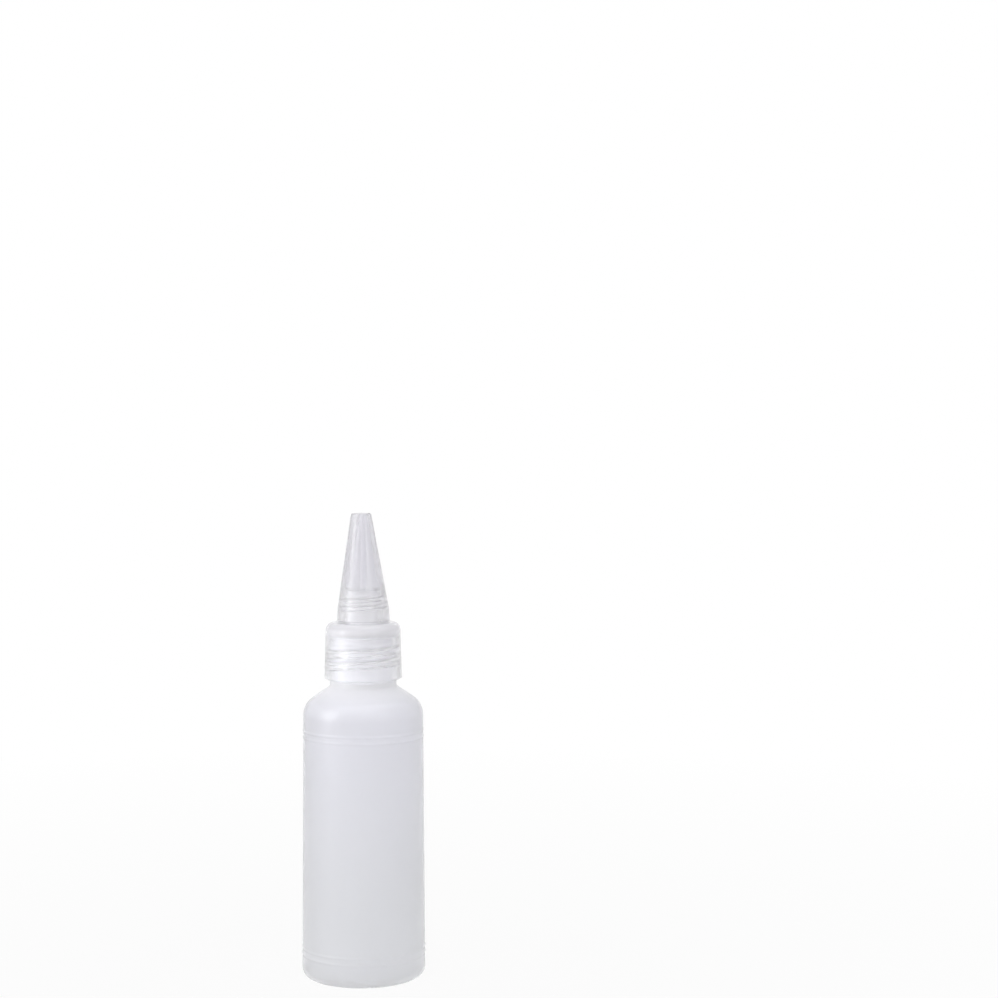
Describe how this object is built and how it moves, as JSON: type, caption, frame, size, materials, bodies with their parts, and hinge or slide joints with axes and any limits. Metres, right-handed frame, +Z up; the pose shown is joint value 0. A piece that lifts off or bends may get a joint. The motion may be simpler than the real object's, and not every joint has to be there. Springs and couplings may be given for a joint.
{
  "type": "squeeze bottle with twist nozzle",
  "caption": "Translucent soft plastic squeeze bottle with a screw collar and a pointed twist-open dispensing nozzle on a threaded post.",
  "frame": {"origin": "centre of the base, on the plane that the standing ring rests on", "axes": "+Z up the bottle's axis towards the nozzle's tip; +X and +Y are free, because the pieces are turned about Z and only the thread starts fix them"},
  "size_m": [0.0334, 0.0334, 0.1253],
  "materials": {
    "milky_polyethylene": "milky translucent, satin",
    "liner_foam": "white foam, matte",
    "clear_collar_plastic": "translucent, glossy",
    "soft_seal_plastic": "natural, satin",
    "clear_nozzle_plastic": "translucent, glossy"
  },
  "bodies": {
    "bottle": {"bottle": "milky_polyethylene"},
    "liner": {"liner": "liner_foam"},
    "collar": {"collar": "clear_collar_plastic"},
    "nozzle_seal": {"nozzle_seal": "soft_seal_plastic"},
    "nozzle": {"nozzle": "clear_nozzle_plastic"}
  },
  "joints": [
    {"name": "collar_lift", "type": "slide", "parent": "bottle", "child": "liner", "axis": [0, 0, 1], "range_m": [0, 0.01588]},
    {"name": "collar_turn", "type": "hinge", "parent": "liner", "child": "collar", "pos_m": [0, 0, 0.088], "axis": [0, 0, 1], "range_deg": [0, 1800]},
    {"name": "nozzle_lift", "type": "slide", "parent": "collar", "child": "nozzle_seal", "axis": [0, 0, 1], "range_m": [0, 0.003]},
    {"name": "nozzle_turn", "type": "hinge", "parent": "nozzle_seal", "child": "nozzle", "pos_m": [0, 0, 0.1], "axis": [0, 0, 1], "range_deg": [0, 540]}
  ],
  "couplings": [
    {"joint": "collar_turn", "follows": "collar_lift", "rad_per_m": 1979},
    {"joint": "nozzle_turn", "follows": "nozzle_lift", "rad_per_m": 3141.6}
  ]
}
